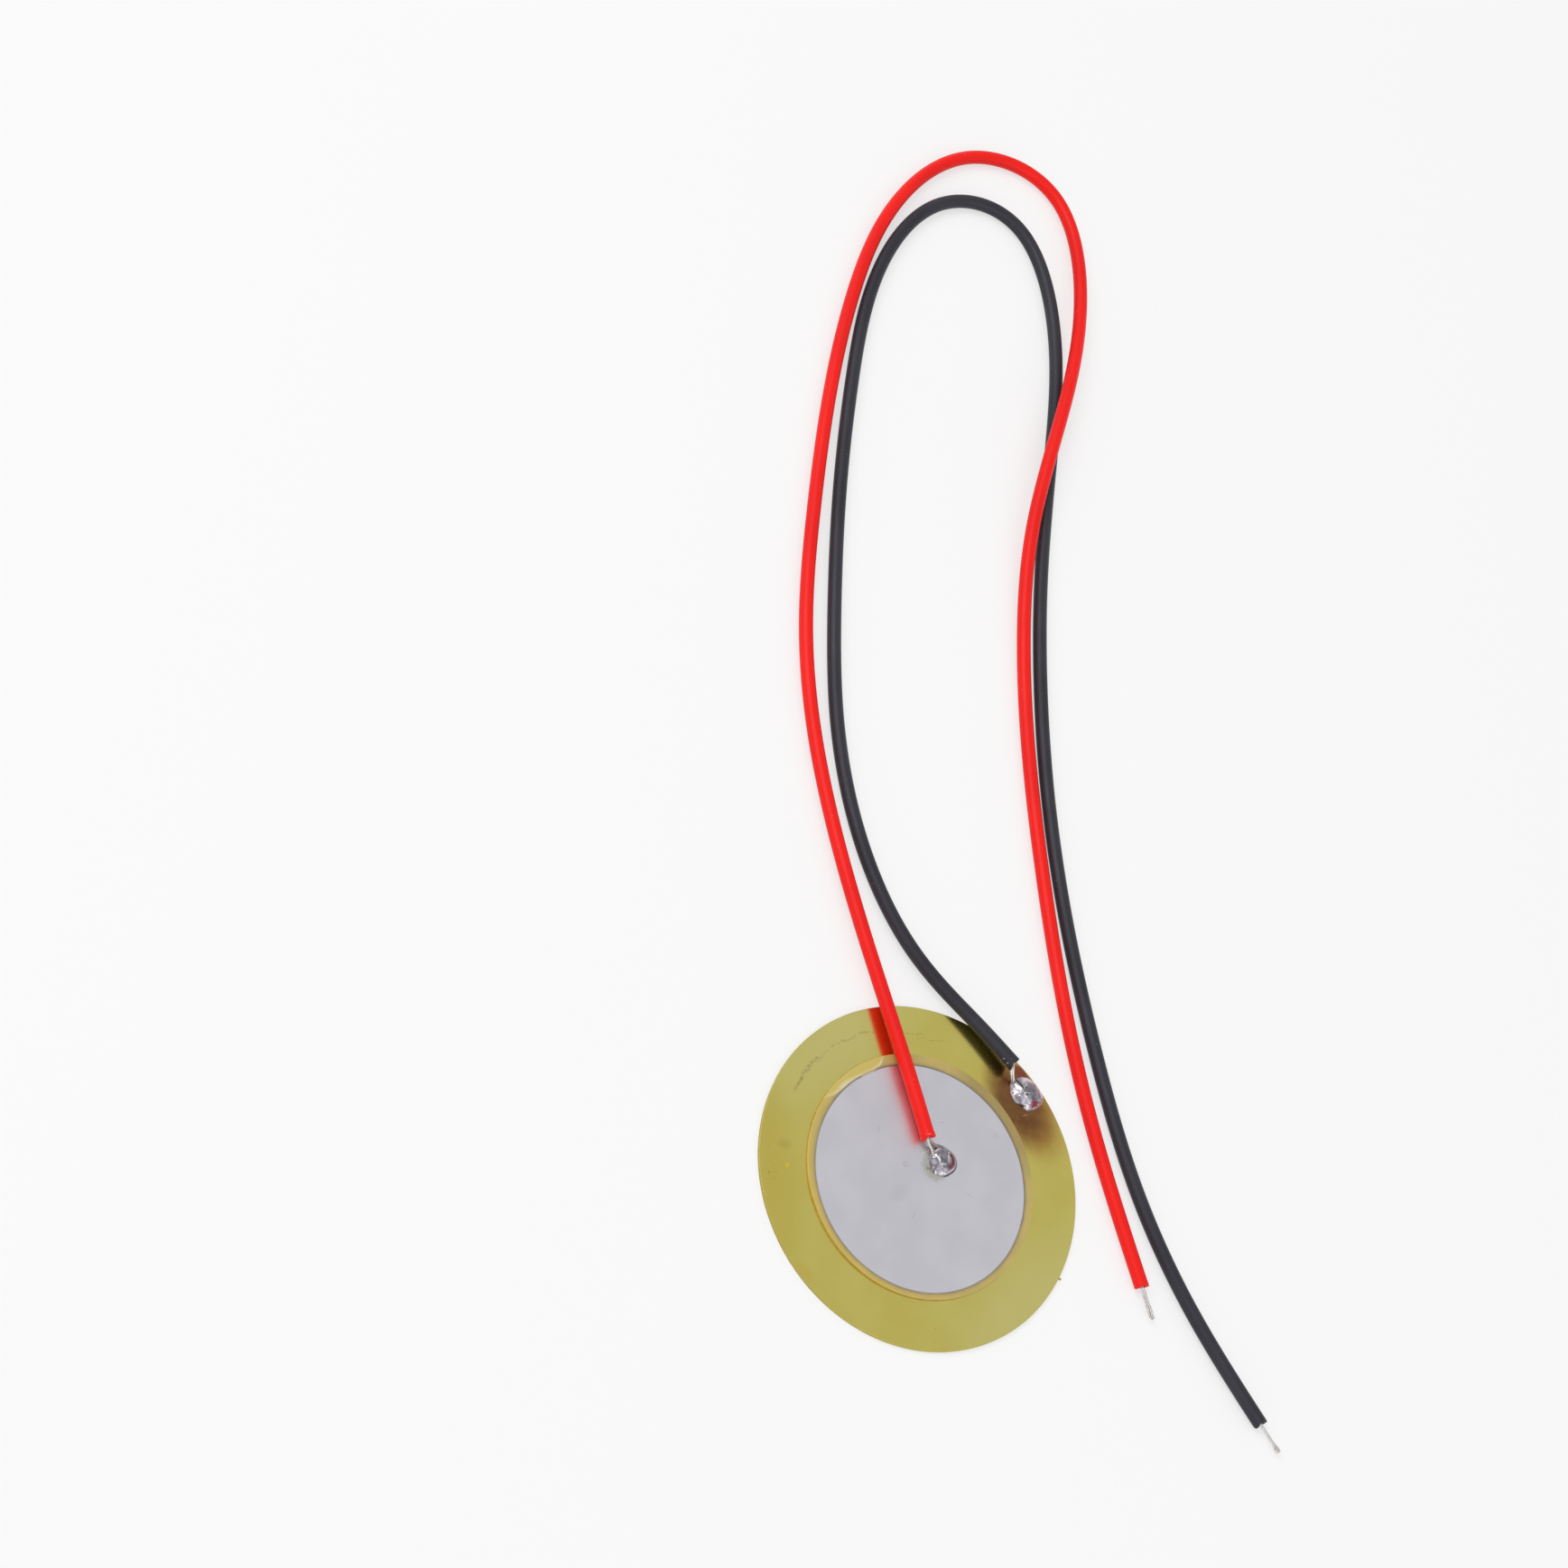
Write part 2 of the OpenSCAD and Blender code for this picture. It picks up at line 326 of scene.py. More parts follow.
def rolled_brass():
    """Cartridge brass, cold rolled and punched: a satin mirror, blurred most
    across its faint straight grain, with handling specks, a scored arc, a
    duller punched wall darkened further by painted shade, and amber and brown
    round the rim joint, partly flux burnt on and partly painted reflection of
    the leads. Paler and deeper patches are painted reflections, and a small
    golden glint is a painted highlight."""
    material, tree, shader, place = begin("rolled_brass", Metallic=1.0)
    wall = add(tree, "Attribute", (), "Fac", attribute_name="wall")
    # A scored arc of 10.9 mm radius round a middle of its own, wavering
    wander = grains(tree, place, 1.2, 2.0, (0.2, 0.8, -0.14, 0.14))
    off_arc = add(tree, "Math", (away(tree, place, -0.84, 0.52), 10.9), operation="SUBTRACT")
    off_arc = add(tree, "Math", (off_arc, wander), operation="ADD")
    off_arc = add(tree, "Math", (off_arc,), operation="ABSOLUTE")
    broad, narrow = (
        add(tree, "MapRange", (off_arc, 0.0, width, 1.0, 0.0), interpolation_type="SMOOTHSTEP")
        for width in (0.24, 0.13)
    )
    # Tarnish and dust: lone dots, and blots of about 0.2 mm on the arc and
    # beside it, each in its own region and of its own strength
    dots = [(0.25, -11.75), (0.1, -12.75), (9.7, 4.4), (0.75, 10.97), (1.15, 11.05)]
    dirt = marks(tree, place, 0.5, *((x, y, 0.05, 0.04, 30) for x, y in dots))
    for line, band, strength, soft, *regions in (
        (broad, (0.4, 0.6, 0.25, 1.0), 1.0, 0.25, (-8.97, 7.6, 1.9, 0.8, 48)),
        (narrow, (0.35, 0.6), 0.6, 0.4, (-5.4, 10.4, 2.6, 0.8, 22), (0.4, 11.4, 0.8, 0.5, 0)),
        (1.0, (0.35, 0.6), 0.6, 0.6, (2.2, 10.93, 1.0, 0.05, 3)),
        (1.0, (0.62, 0.68), 0.7, 0.3, (-12.6, 2, 0.55, 0.3, 90), (-12.55, -0.4, 0.75, 0.4, 100)),
    ):
        blots = grains(tree, place, 0.22, 1.0, band)
        for share in (marks(tree, place, soft, *regions), blots, strength):
            line = add(tree, "Math", (line, share), operation="MULTIPLY")
        dirt = add(tree, "Math", (dirt, line), operation="MAXIMUM")
    # Amber, and brown close to the rim joint: partly flux and heat stain, partly painted reflection
    # of the leads
    ragged = grains(tree, place, 0.8, 3.0, (0.3, 0.65, 0.84, 1.0))
    amber, brown = (
        add(tree, "Math", (marks(tree, place, soft, spot), ragged), operation="MULTIPLY")
        for soft, spot in ((0.45, (9.7, 6.2, 3.9, 2.3, -62)), (0.5, (9.1, 6.4, 3.1, 2.0, -60)))
    )
    # Painted reflections: paler patches at the upper left and lower right, and a deeper gold along
    # the left rim
    pale = marks(tree, place, 0.8, (-6.5, 10.2, 6.5, 3.0, 35), (8.5, -9.5, 6.5, 3.0, 40))
    layers = [
        (grains(tree, place, 5.0, 3.0, (0.3, 0.7)), 1.0, "E4D878"),
        (pale, 0.7, "E6DE90"),
        (marks(tree, place, 0.8, (-12.3, -0.5, 5.5, 1.8, 95)), 0.75, "DCC85F"),
        (dirt, 0.46, "6A5222"),
        (marks(tree, place, 0.6, (-11.3, 1.75, 0.5, 0.35, 0)), 0.13, "6E6236"),
        (marks(tree, place, 0.6, (-11.2, 0.15, 0.2, 0.13, 60)), 0.85, "F7E53C"),
        (marks(tree, place, 0.7, (-10.4, -8.0, 0.9, 0.5, 130)), 0.22, "E3B23A"),
        (amber, 0.9, "BC8446"),
        (brown, 1.0, "80583A"),
        (marks(tree, place, 0.3, (9.5, 8.9, 0.75, 0.42, -42)), 0.95, "965444"),
        # A painted highlight: a small golden glint below the rim joint
        (marks(tree, place, 0.8, (9.62, 5.5, 0.24, 0.06, 15)), 0.45, "D8AE7C"),
        # The punched wall and burr: duller, and darker partly as painted shade
        (wall, 0.55, "8E8240"),
    ]
    rough = grains(tree, place, 5.0, 3.0, (0.2, 0.8, 0.18, 0.22))
    for share, more in ((dirt, 0.2), (wall, 0.3), (brown, 0.12)):
        rough = add(tree, "Math", (share, more, rough), operation="MULTIPLY_ADD")
    # Rolling lines are a few microns wide, and drawn at 0.06 mm to show
    lines = grains(tree, place, 0.06, 2.0, None, (30, 1, 1), 0.6)
    coat(tree, shader, "E0D16E", layers, lines, 0.0005, rough)
    return material


def fired_silver():
    """Silver paste, screen printed and fired: a matt pale grey metal that
    glows softly beside what stands on it, thin and dull at its rim, where
    painted shade darkens it too, with a few light scratches."""
    material, tree, shader, place = begin("fired_silver", Metallic=1.0)
    thin = add(tree, "Attribute", (), "Fac", attribute_name="thin")
    scratches = marks(
        tree,
        place,
        0.5,
        (2.05, 4.3, 0.26, 0.03, 14),
        (-3.4, 3.4, 0.3, 0.035, 85),
        (4.0, -1.3, 0.4, 0.03, -25),
        (3.8, -2.3, 0.06, 0.05, 0),
        (-0.95, -3.2, 0.3, 0.03, 60),
    )
    ring = [(-1.3, 0.8, 0.24, 0.2, 0), (-1.27, 0.82, 0.16, 0.12, 0)]
    ring = [marks(tree, place, 0.2, spot) for spot in ring]
    ring = add(tree, "Math", ring, operation="SUBTRACT")
    rubbed = marks(tree, place, 0.7, (-2.0, -1.5, 0.9, 0.5, 30), (6.7, 3.6, 0.3, 0.25, 0))
    layers = [
        (grains(tree, place, 3.0, 4.0, (0.3, 0.7)), 1.0, "E2E1E8"),
        (scratches, 0.28, "8A878C"),
        (ring, 0.28, "8A878C"),
        (rubbed, 0.2, "C6C4CC"),
        # The print's thin edge, darkened partly as painted shade
        (thin, 0.9, "857B72"),
    ]
    # The paste's grain is under a hundredth of a mm, and drawn at 0.08 mm
    grain = grains(tree, place, 0.08, 2.0)
    rough = grains(tree, place, 3.0, 4.0, (0.2, 0.8, 0.38, 0.44))
    coat(tree, shader, "DFDEE5", layers, grain, 0.0008, rough)
    return material


def sintered_ceramic():
    """Lead zirconate titanate, pressed and fired, under the glue wiped over
    it: a faintly shining cream to tan band, gold at its edge and more so on
    its left side as painted light, with a paler glue smear at the upper left."""
    material, tree, shader, place = begin("sintered_ceramic", Metallic=0.0)
    gold, smear, cream, shade = (
        add(tree, "Attribute", (), "Fac", attribute_name=layer)
        for layer in ("gold", "smear", "cream", "shade")
    )
    layers = [
        (grains(tree, place, 2.2, 3.0, (0.35, 0.65)), 1.0, "C4AC66"),
        # The gold edge, stronger to the left as painted light
        (gold, 1.0, "D3B44E"),
        (smear, 1.0, "CDBB62"),
        (cream, 1.0, "E8E4C4"),
        # Painted shade with some flux stain: the margin browner towards the rim joint, where the
        # glossy ceramic reflects the leads
        (marks(tree, place, 0.6, (7.6, 5.6, 5.0, 2.4, -54)), 0.5, "8A6F48"),
        (shade, 1.0, "776A58"),
    ]
    # The fired grain is a few microns, and drawn at 0.08 mm
    grain = grains(tree, place, 0.08, 2.0)
    rough = grains(tree, place, 2.2, 3.0, (0.2, 0.8, 0.3, 0.42))
    coat(tree, shader, "B7A764", layers, grain, 0.001, rough)
    return material


def cured_adhesive():
    """Anaerobic glue, pressed out and cured: a glossy amber thread."""
    material, tree, shader, place = begin("cured_adhesive", Roughness=0.35, IOR=1.5)
    layers = [(grains(tree, place, 0.8, 3.0, (0.35, 0.65)), 1.0, "B9A250")]
    coat(tree, shader, "A18C48", layers, grains(tree, place, 0.3, 1.0), 0.01)
    return material


def tin_solder():
    """Tin solder, frozen in folds under a skin of flux: dull grey metal, with
    painted shade and dark flux in its hollows and round its foot, painted
    glints, and maroon flux stains that are partly a painted reflection of
    the red lead."""
    material, tree, shader, place = begin("tin_solder", Metallic=1.0)
    pale, hollow, maroon_flux_and_reflection = (
        add(tree, "Attribute", (), "Fac", attribute_name=layer)
        for layer in ("pale", "hollow", "maroon_flux_and_reflection")
    )
    layers = [
        (grains(tree, place, 0.45, 3.0, (0.3, 0.7)), 1.0, "ACA8B2"),
        # Painted highlights
        (pale, 1.0, "F0ECF0"),
        # Painted shade mixed with dark flux, in the hollows and round the foot
        (hollow, 1.0, "302A2D"),
        # Maroon flux stain, partly a painted reflection of the red lead
        (maroon_flux_and_reflection, 1.0, "86404C"),
    ]
    rough = grains(tree, place, 0.45, 3.0, (0.3, 0.7, 0.28, 0.4))
    coat(tree, shader, "78727C", layers, grains(tree, place, 0.12, 2.0), 0.004, rough)
    return material


def rosin_flux(name, inner, outer, beside):
    """Rosin flux, boiled and dried: a thin glossy varnish over bright metal,
    darker where it lies thick against the solder, and at its outer edge so
    thin that it takes the colour of what it lies on."""
    material, tree, shader, place = begin(name, Metallic=0.85, Roughness=0.24)
    out = add(tree, "Attribute", (), "Fac", attribute_name="out")
    boiled = add(tree, "Math", (grains(tree, place, 0.35, 3.0), -0.35), operation="ADD")
    uneven = add(tree, "Math", (out, boiled), operation="ADD")
    thin, gone = (
        add(tree, "MapRange", band, interpolation_type="SMOOTHSTEP")
        for band in ((uneven, 0.4, 0.8), (out, 0.72, 1.0))
    )
    coat(tree, shader, inner, [(thin, 1.0, outer), (gone, 1.0, beside)], boiled, 0.008)
    return material


def tinned_copper():
    """Drawn copper strands, hot tinned: soft silver with a warm copper
    tinge and painted shade in the grooves between them."""
    material, tree, shader, place = begin("tinned_copper", Metallic=1.0)
    groove_shade = add(tree, "Attribute", (), "Fac", attribute_name="groove_shade")
    layers = [
        (grains(tree, place, 0.1, 2.0, (0.3, 0.7)), 1.0, "EAE8E6"),
        (groove_shade, 0.75, "85685E"),
    ]
    rough = grains(tree, place, 0.1, 2.0, (0.3, 0.7, 0.2, 0.34))
    coat(tree, shader, "C3BEBA", layers, grains(tree, place, 0.1, 2.0), 0.004, rough)
    return material


def extruded_vinyl(name, plain, warm, dust_and_glint, *painted_glints):
    """Soft PVC, extruded over the strands: satin, with draw lines along it,
    a little pale dust, and a few small pale spots that are painted glints."""
    material, tree, shader, place = begin(name, IOR=1.53, Specular_IOR_Level=0.25)
    rod = add(tree, "Attribute", (), "Vector", attribute_name="rod")
    layers = [
        (grains(tree, rod, 1.5, 3.0, (0.3, 0.7), (4, 1, 1)), 1.0, warm),
        (grains(tree, rod, 0.14, 0.0, (0.84, 0.88)), 0.5, dust_and_glint),
        # Painted highlights: small glints near the cut end
        (marks(tree, place, 0.5, *painted_glints), 0.75, dust_and_glint),
    ]
    rough = grains(tree, rod, 1.5, 3.0, (0.2, 0.8, 0.4, 0.5), (4, 1, 1))
    # Draw lines are some 0.02 mm apart, and drawn at 0.12 mm to show
    lines = grains(tree, rod, 0.12, 2.0, None, (60, 1, 1))
    coat(tree, shader, plain, layers, lines, 0.004, rough)
    return material


BRASS = rolled_brass()
SILVER = fired_silver()
CERAMIC = sintered_ceramic()
ADHESIVE = cured_adhesive()
SOLDER = tin_solder()
CLEAR_FLUX = rosin_flux("clear_flux", "8A847A", "C8C9C0", "DFDEE5")
BROWN_FLUX = rosin_flux("brown_flux", "4E3426", "7E5838", "86603B")
STRAND = tinned_copper()
# The last ellipses of each vinyl are painted glints
RED_PVC = extruded_vinyl("red_pvc", "F81409", "EE0F08", "FF9A90", (0.25, 2.92, 0.14, 0.03, 20))
BLACK_PVC = extruded_vinyl(
    "black_pvc",
    "34333B",
    "2B2A32",
    "9A9AA2",
    (7.44, 9.52, 0.07, 0.028, 130),
    (7.73, 9.18, 0.075, 0.03, 130),
)


# ---- Leads ----

# The routes follow the leads' middles from the solder to the stripped end
RED_ROUTE = [
    (CENTRE_JOINT[0] - 1.4, CENTRE_JOINT[1] + 1.5, FACE + LIES + 0.08),
    (CENTRE_JOINT[0] - 2.6, CENTRE_JOINT[1] + 6.1, FACE + LIES + 0.2),
    (-2.5, 13.9, DISC_TOP + LIES + 0.35),
    (-4.7, 22.9, LIES + 0.25),
    (-6.6, 33.5, LIES),
    (-7, 44, LIES),
    (-5.2, 55, LIES),
    (-3, 66, LIES),
    (0, 76, LIES),
    (4, 84.8, LIES),
    (12, 92.2, LIES),
    (22.2, 89.6, LIES),
    (22, 77, SHOULDER),
    (18.2, 66.5, CREST),
    (14.3, 56, SHOULDER),
    (13, 45.5, LIES),
    (12.6, 35, LIES),
    (13, 24.5, LIES),
    (13.8, 14, LIES),
    (15.5, 3.5, LIES),
    (18.5, -7.7, LIES),
]
BLACK_ROUTE = [
    (RIM_JOINT[0] - 1.45, RIM_JOINT[1] + 2.02, DISC_TOP + LIES + 0.5),
    (RIM_JOINT[0] - 4.35, RIM_JOINT[1] + 5.33, DISC_TOP + LIES + 0.2),
    (0.2, 17.5, LIES + 0.225),
    (-3.4, 26, LIES),
    (-4.8, 36, LIES),
    (-4, 46.5, LIES),
    (-2.8, 57, LIES),
    (-0.8, 67.5, LIES),
    (1.8, 78, LIES),
    (8.5, 87, LIES),
    (18, 86, LIES),
    (19.6, 74, LIES),
    (17.5, 63, LIES),
    (15.4, 52.5, LIES),
    (14.3, 42, LIES),
    (14, 31.5, LIES),
    (14.7, 21, LIES),
    (16.3, 10.5, LIES),
    (18.5, 0, LIES),
    (22.5, -9.5, LIES),
    (28, -18, LIES),
]

# A jacket's cut end, from deep in its bore out over the lip: distance in from
# the end, and radius
CUT = np.array(
    [
        (1.2, BORE_R),
        (0.4, BORE_R),
        (0.04, BORE_R),
        (0.0, 0.225),
        (0.0, 0.36),
        (0.0, 0.5),
        (0.012, 0.545),
        (0.05, 0.568),
        (0.12, SKIN_R),
        (0.25, SKIN_R),
        (0.5, SKIN_R),
    ]
)


def jacket(colour, route, material, ends):
    """A tube carried along the route. Its rings run from the bore of one cut
    end, over the lip, along the outside and into the other bore. A lip swells
    by ends' first number, and its cut runs uneven by the second times the
    cosine of twice the angle, less the third times that of the angle."""
    step = 0.35
    at, line = centre_line(route, step)
    total = at[-1]
    angle = np.linspace(0, 2 * np.pi, 40, endpoint=False)
    first = CUT[-1, 0] + step
    inner = np.arange(first, total - first + 0.01, step)
    along = np.concatenate([CUT[:, 0], inner, total - CUT[::-1, 0]])[:, None] + 0 * angle
    radius = np.concatenate([CUT[:, 1], np.full(len(inner), SKIN_R), CUT[::-1, 1]])[:, None]
    for near_end, (swell, tabs, slant, phase) in zip((True, False), ends):
        depth = along if near_end else total - along
        lip = np.exp(-(((depth - 0.12) / 0.22) ** 2)) * (radius > 0.3)
        radius = radius * (1 + swell * lip)
        uneven = tabs * np.cos(2 * (angle + phase)) - slant * np.cos(angle + phase)
        uneven = uneven + 0.02 * np.cos(5 * angle + 1)
        fade = 1 - smooth(0.3, 1.1, depth)
        along = along + (1 if near_end else -1) * uneven * fade
    rod = np.stack([along, radius * np.cos(angle), radius * np.sin(angle)], -1)
    # The skin lies up to 0.012 of its radius lower here and there
    radius = radius * (1 - 0.006 * (1 + noise(rod * [0.25, 1, 1], 1.0, 3)))
    grid = carried(at, line, along, radius, angle)
    poles = carried(at, line, np.array([CUT[0, 0], total - CUT[0, 0]]), 0.0, 0.0)
    values = {"rod": with_poles(rod, (0, 0, 0), (total, 0, 0))}
    name = colour + "_jacket"
    return piece(name, [shell(grid, *poles)], material, colour + "_lead", values), at, line


def strands(at, line, start, end, spread, squeeze, lay, seed, fused=0.0, count=7):
    """Up to seven strands laid round one another: one down the middle, the
    rest round it, each a tube on a helix of that lay. Their distance from the
    middle is spread's, and squeeze flattens the bundle, both over the
    distance along. Where it spreads, solder thickens them by `fused`."""
    rng = np.random.default_rng(seed)
    rows = np.linspace(0, 1, 60)
    own_end = end - 0.12 * rng.random(7)
    own_end[0] = end
    along = start + (own_end[:, None] - start) * rows
    wide, flat = np.interp(along, *spread), np.interp(along, *squeeze)
    wander = 1 + 0.14 * rng.uniform(-1, 1, (7, 1)) * smooth(0.3, 1.0, rows)
    ring = STRANDS_APART * wide * wander
    ring[0] = 0.0
    turn = np.arange(7)[:, None] * np.pi / 3 + 2 * np.pi * along / lay
    sideways, upwards = ring * np.cos(turn) / flat, ring * np.sin(turn) * flat
    middle = carried(at, line, along, np.hypot(sideways, upwards), np.arctan2(upwards, sideways))
    around = np.linspace(0, 2 * np.pi, 14, endpoint=False)
    # A strand's end is rounded over this length
    cap = 0.06
    shells, groove_shade = [], []
    for k in range(count):
        d = np.r_[0, np.cumsum(np.linalg.norm(np.diff(middle[k], axis=0), axis=1))]
        short = (cap - np.minimum(d[-1] - d, cap)) / cap
        radius = STRAND_R * (1 + fused * smooth(0.0, 1.0, wide[k] - 1))
        radius = radius * np.sqrt(np.clip(1 - short**2, 0.02, 1))
        grid = carried(d, middle[k], d[:, None], radius[:, None], around)
        shells.append(shell(grid, middle[k][0], middle[k][-1]))
        axis = carried(at, line, along[k], 0.0, 0.0)
        out = np.linalg.norm(grid - axis[:, None], axis=-1)
        bundle = STRANDS_APART * wide[k][:, None] + STRAND_R
        # Painted shade with a copper tinge on each strand's side towards the bundle's middle
        groove_shade.append(with_poles(1 - smooth(0.6, 0.85, out / bundle), 1.0, 0.0))
    return shells, np.concatenate(groove_shade)


def tip(colour, tube, at, line, spread, squeeze, lay, seed, fused=0.0):
    """The strands of a stripped end, from inside the bore to their cut."""
    end = at[-1]
    spread, squeeze = ((np.array(past) + end, share) for past, share in (spread, squeeze))
    shells, groove_shade = strands(
        at, line, end - 1.1, end + TIP_LENGTH, spread, squeeze, lay, seed, fused
    )
    name, node = colour + "_strands", colour + "_tip"
    bare = piece(name, shells, STRAND, node, {"groove_shade": groove_shade})


def root(colour, route, knee, bundles, seed):
    """The strands from a jacket's bore, in bundles. Each is bent aside and
    down to the place in the solder where it ends, and more or less stained."""
    start, then = np.array(route[0]), np.array(route[1])
    out = (start - then) / np.linalg.norm(start - then)
    shells, groove_shade = [], []
    for aside, end, count, stained in bundles:
        bend = start + knee * out + np.array(aside)
        at, line = centre_line([start - out, start, bend, np.array(end)], 0.05)
        spread = ([0, 1.0, at[-1]], [0.9, 0.85, 0.95])
        unsqueezed = ([0, at[-1]], [1.0, 1.0])
        more, inner = strands(at, line, 0.0, at[-1], spread, unsqueezed, 6.0, seed, count=count)
        shells += more
        groove_shade.append(np.maximum(inner, stained))
    name, node = colour + "_root_strands", colour + "_root"
    piece(name, shells, STRAND, node, {"groove_shade": np.concatenate(groove_shade)})


red_lead = jacket("red", RED_ROUTE, RED_PVC, [(0.07, -0.05, 0.03, 0.4), (0.02, -0.05, 0.03, 0.0)])
black_lead = jacket(
    "black", BLACK_ROUTE, BLACK_PVC, [(0.02, -0.08, 0.08, 0.6), (0.0, -0.1, 0.03, 0.0)]
)
tip(
    "red",
    *red_lead,
    spread=([0, 0.4, 1.5, 2.2, 2.6], [0.8, 0.85, 0.95, 1.0, 0.9]),
    squeeze=([0, 1.0, 2.6], [1.0, 0.95, 0.9]),
    lay=9.0,
    seed=4,
)
tip(
    "black",
    *black_lead,
    spread=([0, 0.4, 1.7, 2.2, 2.6], [0.45, 0.45, 0.5, 1.15, 1.0]),
    squeeze=([0, 2.6], [1.0, 1.0]),
    lay=7.0,
    seed=5,
    fused=1.2,
)
root(
    "red",
    RED_ROUTE,
    0.5,
    [
        ((0.0, 0.0, 0.0), (*(CENTRE_JOINT + [-0.62, 0.22]), FACE + 0.25), 4, 0.0),
        ((0.3, 0.12, -0.1), (*(CENTRE_JOINT + [0.2, 0.93]), FACE + 0.15), 3, 1.0),
    ],
    6,
)
root(
    "black",
    BLACK_ROUTE,
    0.25,
    [((-0.38, -0.42, -0.25), (*(RIM_JOINT + [-1.15, 0.85]), DISC_TOP + 0.2), 7, 0.0)],
    7,
)


# ---- Solder and flux ----


def outline(radii, angle):
    """A closed outline through an even number of radii at equal angles, by
    trigonometric interpolation: the sum of the radii's Fourier waves."""
    terms = np.fft.rfft(radii) / len(radii)
    waves = np.exp(1j * np.arange(len(terms)) * angle[..., None])
    weights = np.full(len(terms), 2.0)
    weights[[0, -1]] = 1.0
    return (waves * (terms * weights)).real.sum(-1)


def patch(x, y, spot):
    """1 well inside an ellipse given by its middle, half length, half width
    and turn, 0 well outside."""
    cx, cy, long, short, turn = spot
    c, s = np.cos(np.radians(turn)), np.sin(np.radians(turn))
    along, across = (x - cx) * c + (y - cy) * s, (y - cy) * c - (x - cx) * s
    return smooth(1.4, 0.6, np.hypot(along / long, across / short))


def frozen_drop(node, middle, base, radii, height, fold, seed, ridge, bright, bands, spots):
    """A drop of solder. Over a share u of the outline's radius it stands
    height times (1 - u^2)^0.85, plus a soft ridge where the strands run in,
    and folds of `fold` mm along its normals: the ridges of two noises. All of
    it gets a little painted shine, by `bright`. Bands of it, given by u and
    angle, and spots, which are ellipses, are painted highlights, painted shade
    with dark flux in it, or maroon flux stain with a painted reflection of the
    red lead."""
    u = np.linspace(0.01, 1, 110)[:, None]
    angle = np.linspace(0, 2 * np.pi, 260, endpoint=False)[None, :]
    reach = u * outline(radii, angle)
    x, y = middle[0] + reach * np.cos(angle), middle[1] + reach * np.sin(angle)
    # The ridge: how far along it, and how far off it and to which side
    start, end, wide, tall = ridge
    dx, dy = end[0] - start[0], end[1] - start[1]
    t = np.clip(((x - start[0]) * dx + (y - start[1]) * dy) / (dx * dx + dy * dy), 0, 1)
    to_x, to_y = x - start[0] - t * dx, y - start[1] - t * dy
    off = (to_y * dx - to_x * dy) / np.hypot(dx, dy)
    apart = np.hypot(to_x, to_y)
    lift = height * (1 - u**2) ** 0.85 + tall * np.exp(-((apart / wide) ** 2)) * smooth(1.0, 0.8, u)
    grid = np.stack([x, y, base + lift], -1)
    normal = np.cross(np.roll(grid, -1, 1) - np.roll(grid, 1, 1), np.gradient(grid, axis=0))
    normal /= np.linalg.norm(normal, axis=-1, keepdims=True)
    normal *= np.sign(normal[..., 2:].mean())
    coarse, fine = noise(grid, 0.6, seed), noise(grid, 0.25, seed + 1)
    folds = (1 - 2 * np.abs(coarse)) * 0.6 + (1 - 2 * np.abs(fine)) * 0.4
    calm = smooth(1.0, 0.75, u)
    grid = grid + normal * (fold * folds * calm)[..., None]
    grid[..., 2] = np.maximum(grid[..., 2], base)
    strand = smooth(1.0, 0.5, apart / wide) * smooth(1.0, 0.5, t)
    groove_shade = np.exp(-(((off + 1.1 * wide) / (0.5 * wide)) ** 2)) * smooth(1.8, 1.2, apart / wide)
    groove_shade = groove_shade * smooth(-0.1, 0.1, t) * smooth(1.05, 0.9, t)
    painted_shine = bright * (0.65 + 0.35 * noise(grid, 0.4, seed + 2))
    # Painted shade, with dark flux, in the creases between folds and in the groove beside the
    # strand; painted highlights on the folds' crests, on the strand's ridge and a little all over
    looks = {
        "hollow": np.maximum(0.8 * smooth(0.05, 0.7, -folds) * calm, 0.5 * groove_shade),
        "pale": np.maximum.reduce([smooth(0.55, 0.9, folds) * calm, 0.35 * strand, painted_shine]),
        "maroon_flux_and_reflection": 0 * lift,
    }
    turned = np.degrees(angle)
    for look, strength, inner, outer, first, last in bands:
        beside = np.abs((turned - (first + last) / 2 + 180) % 360 - 180)
        band = smooth(inner - 0.05, inner + 0.02, u) * smooth(outer + 0.05, outer - 0.02, u)
        band = band * smooth((last - first) / 2 + 15, (last - first) / 2 - 10, beside)
        looks[look] = np.maximum(looks[look], strength * band)
        if look != "pale":
            looks["pale"] = looks["pale"] * (1 - band)
    for look, strength, spot in spots:
        looks[look] = np.maximum(looks[look], strength * patch(x, y, spot))
        if look == "pale":
            looks["hollow"] = looks["hollow"] * (1 - strength * patch(x, y, spot))
    # The foot goes 0.005 mm under the face that the drop stands on
    pole = grid[0].mean(axis=0)
    under = np.array([middle[0], middle[1], base - 0.005])
    grid = np.concatenate([grid, (grid[-1] - [0, 0, 0.005])[None]])
    values = {}
    for look, numbers in looks.items():
        values[look] = with_poles(np.concatenate([numbers, numbers[-1:]]), numbers[0].mean(), 0.0)
    piece(node + "_drop", [shell(grid, pole, under)], SOLDER, node, values)


# Radii at equal angles round each drop, from the x axis on
CENTRE_OUTLINE = [1.26, 1.22, 1.15, 1.13, 1.24, 1.4, 1.38, 1.22]
CENTRE_OUTLINE += [1.15, 1.22, 1.28, 1.28, 1.28, 1.22, 1.22, 1.27]
RIM_OUTLINE = [1.45, 1.3, 1.3, 1.35, 1.44, 1.5, 1.6, 1.5]
RIM_OUTLINE += [1.38, 1.3, 1.2, 1.14, 1.33, 1.36, 1.42, 1.55]

